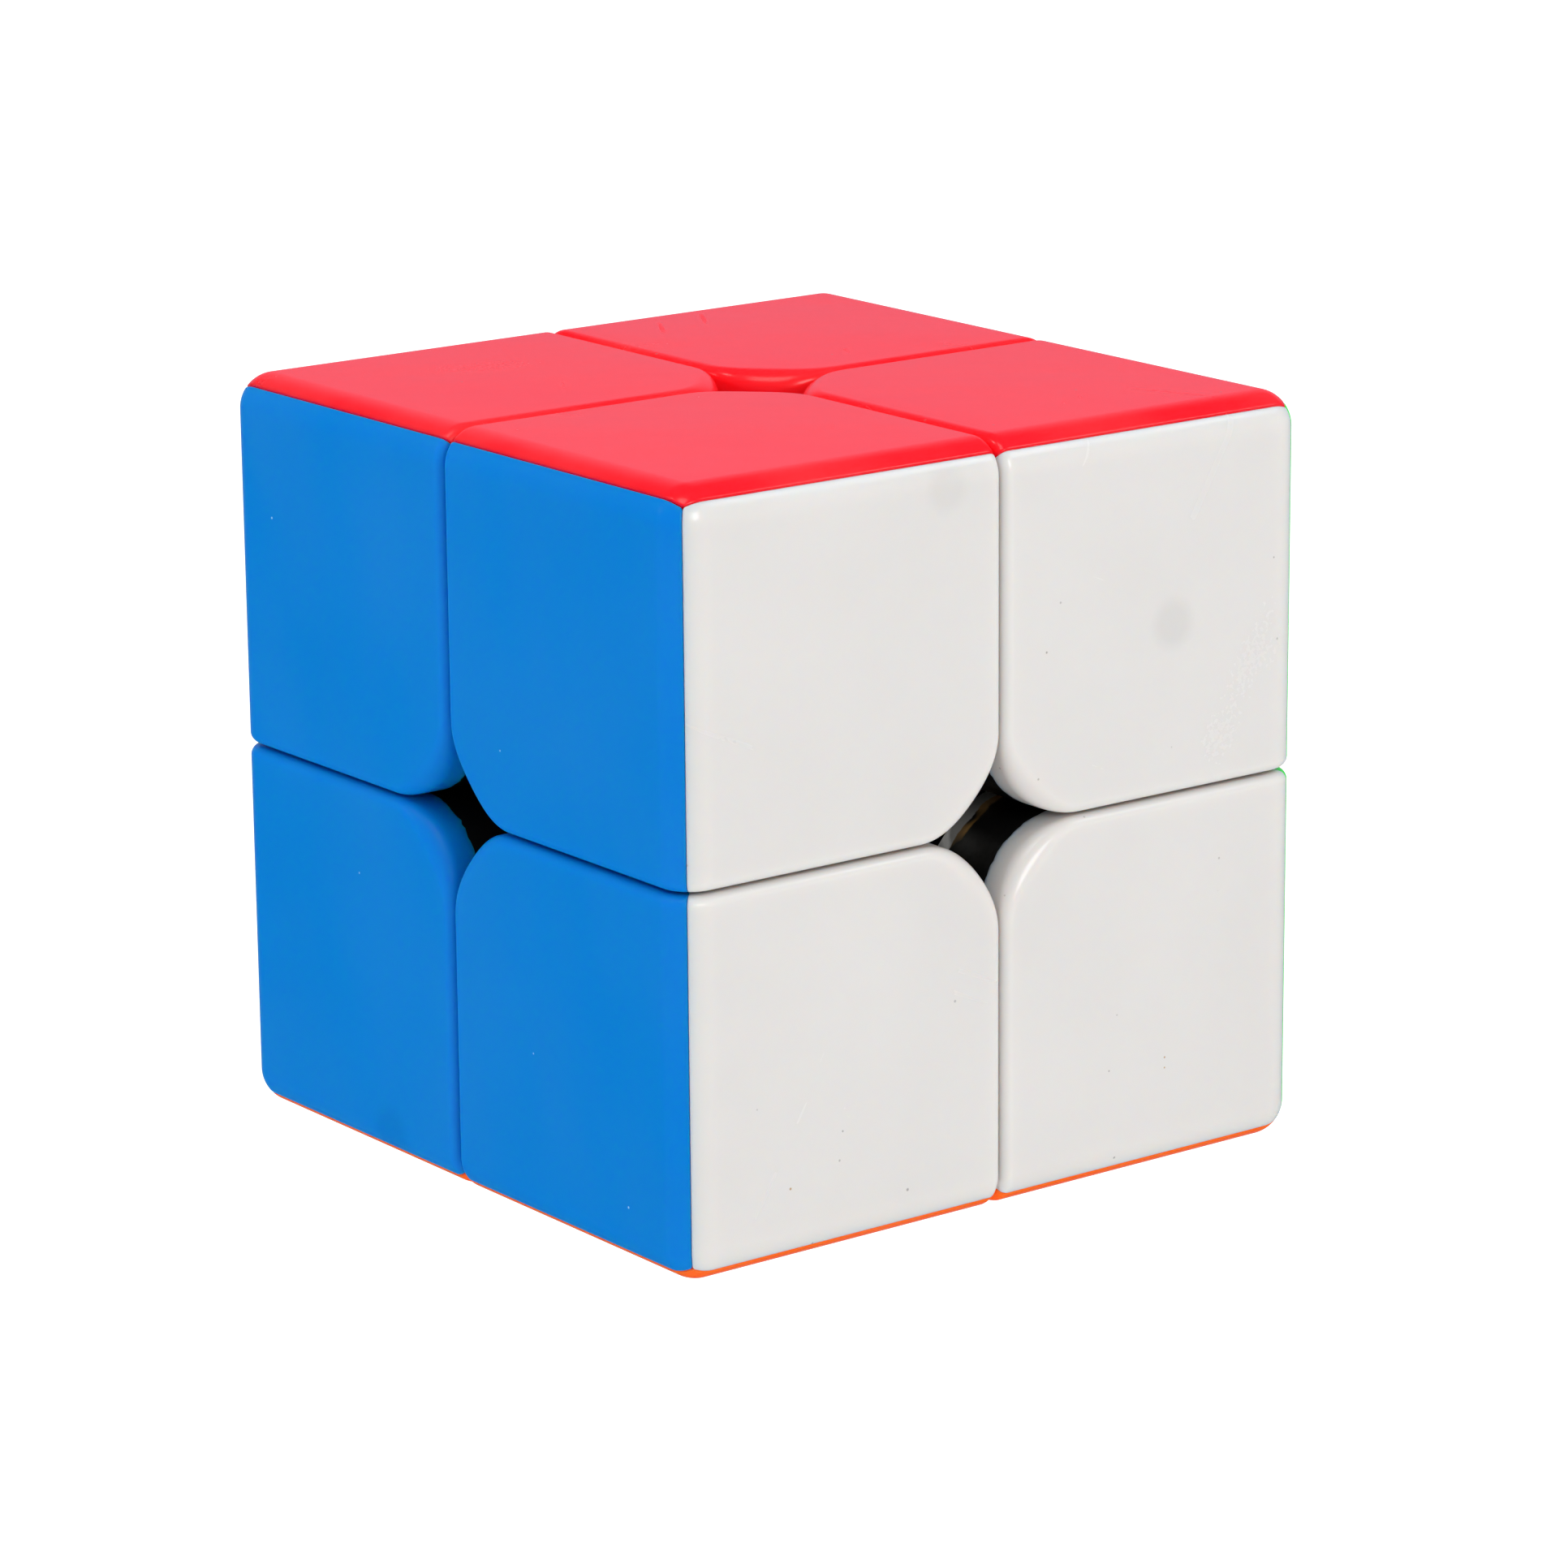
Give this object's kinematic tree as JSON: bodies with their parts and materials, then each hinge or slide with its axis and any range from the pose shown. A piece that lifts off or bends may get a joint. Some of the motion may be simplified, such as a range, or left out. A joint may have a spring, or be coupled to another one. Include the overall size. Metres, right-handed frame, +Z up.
{
  "type": "twisty puzzle cube",
  "caption": "Two-layer twisty puzzle cube with coloured caps, rounded face openings and a screwed, spring-loaded mechanism hidden inside.",
  "frame": {"origin": "middle of the cube, where the three turning axes of the layers meet", "axes": "+Z up towards the red face, -Y towards the front white face, +X towards the green face on the right"},
  "size_m": [0.05, 0.05, 0.05],
  "materials": {
    "red_plastic": "moulded gloss ABS, coloured through",
    "blue_plastic": "moulded gloss ABS, coloured through",
    "white_plastic": "moulded gloss ABS, coloured through",
    "green_plastic": "moulded gloss ABS, coloured through",
    "orange_plastic": "moulded gloss ABS, coloured through",
    "yellow_plastic": "moulded gloss ABS, coloured through",
    "black_plastic": "moulded ABS, satin",
    "mechanism_plastic": "moulded ABS, lubricated",
    "core_plastic": "moulded nylon",
    "screw_steel": "zinc-plated",
    "washer_steel": "zinc-plated",
    "spring_steel": "spring wire"
  },
  "bodies": {
    "anchored_layers": {"blue_cap_lower_back_left": "blue_plastic", "yellow_cap_lower_back_left": "yellow_plastic", "orange_cap_lower_back_left": "orange_plastic", "corner_body_lower_back_left": "black_plastic", "hidden_edge_lower_back": "mechanism_plastic", "hidden_edge_lower_left": "mechanism_plastic", "hidden_edge_back_left": "mechanism_plastic", "centre_left": "mechanism_plastic", "centre_lower": "mechanism_plastic", "centre_back": "mechanism_plastic", "core": "core_plastic", "anchor_peg": "core_plastic", "centre_screws": "screw_steel", "centre_washers": "washer_steel", "centre_springs": "spring_steel"},
    "upper_layer": {"blue_cap_upper_back_left": "blue_plastic", "yellow_cap_upper_back_left": "yellow_plastic", "red_cap_upper_back_left": "red_plastic", "corner_body_upper_back_left": "black_plastic", "hidden_edge_upper_back": "mechanism_plastic", "hidden_edge_upper_left": "mechanism_plastic", "centre_upper": "mechanism_plastic"},
    "right_layer": {"green_cap_lower_back_right": "green_plastic", "yellow_cap_lower_back_right": "yellow_plastic", "orange_cap_lower_back_right": "orange_plastic", "corner_body_lower_back_right": "black_plastic", "hidden_edge_lower_right": "mechanism_plastic", "hidden_edge_back_right": "mechanism_plastic", "centre_right": "mechanism_plastic"},
    "front_layer": {"blue_cap_lower_front_left": "blue_plastic", "white_cap_lower_front_left": "white_plastic", "orange_cap_lower_front_left": "orange_plastic", "corner_body_lower_front_left": "black_plastic", "hidden_edge_lower_front": "mechanism_plastic", "hidden_edge_front_left": "mechanism_plastic", "centre_front": "mechanism_plastic"},
    "upper_right_pieces": {"green_cap_upper_back_right": "green_plastic", "yellow_cap_upper_back_right": "yellow_plastic", "red_cap_upper_back_right": "red_plastic", "corner_body_upper_back_right": "black_plastic", "hidden_edge_upper_right": "mechanism_plastic"},
    "upper_front_pieces": {"blue_cap_upper_front_left": "blue_plastic", "white_cap_upper_front_left": "white_plastic", "red_cap_upper_front_left": "red_plastic", "corner_body_upper_front_left": "black_plastic", "hidden_edge_upper_front": "mechanism_plastic"},
    "front_right_pieces": {"green_cap_lower_front_right": "green_plastic", "white_cap_lower_front_right": "white_plastic", "orange_cap_lower_front_right": "orange_plastic", "corner_body_lower_front_right": "black_plastic", "hidden_edge_front_right": "mechanism_plastic"},
    "upper_front_right_piece": {"green_cap_upper_front_right": "green_plastic", "white_cap_upper_front_right": "white_plastic", "red_cap_upper_front_right": "red_plastic", "corner_body_upper_front_right": "black_plastic"}
  },
  "joints": [
    {"name": "upper_turn", "type": "hinge", "parent": "anchored_layers", "child": "upper_layer", "pos_m": [0, 0, 0], "axis": [0, 0, 1], "continuous": true},
    {"name": "right_turn", "type": "hinge", "parent": "anchored_layers", "child": "right_layer", "pos_m": [0, 0, 0], "axis": [1, 0, 0], "range_deg": [-360, 360]},
    {"name": "front_turn", "type": "hinge", "parent": "anchored_layers", "child": "front_layer", "pos_m": [0, 0, 0], "axis": [0, -1, 0], "range_deg": [-360, 360]},
    {"name": "right_turn_of_upper_right", "type": "hinge", "parent": "upper_layer", "child": "upper_right_pieces", "pos_m": [0, 0, 0], "axis": [1, 0, 0], "range_deg": [-360, 360]},
    {"name": "front_turn_of_upper_front", "type": "hinge", "parent": "upper_layer", "child": "upper_front_pieces", "pos_m": [0, 0, 0], "axis": [0, -1, 0], "range_deg": [-360, 360]},
    {"name": "front_turn_of_front_right", "type": "hinge", "parent": "right_layer", "child": "front_right_pieces", "pos_m": [0, 0, 0], "axis": [0, -1, 0], "range_deg": [-360, 360]},
    {"name": "front_turn_of_upper_front_right", "type": "hinge", "parent": "upper_right_pieces", "child": "upper_front_right_piece", "pos_m": [0, 0, 0], "axis": [0, -1, 0], "range_deg": [-360, 360]}
  ],
  "couplings": [
    {"joint": "right_turn_of_upper_right", "follows": "right_turn", "ratio": 1},
    {"joint": "front_turn_of_upper_front", "follows": "front_turn", "ratio": 1},
    {"joint": "front_turn_of_front_right", "follows": "front_turn", "ratio": 1},
    {"joint": "front_turn_of_upper_front_right", "follows": "front_turn", "ratio": 1}
  ]
}
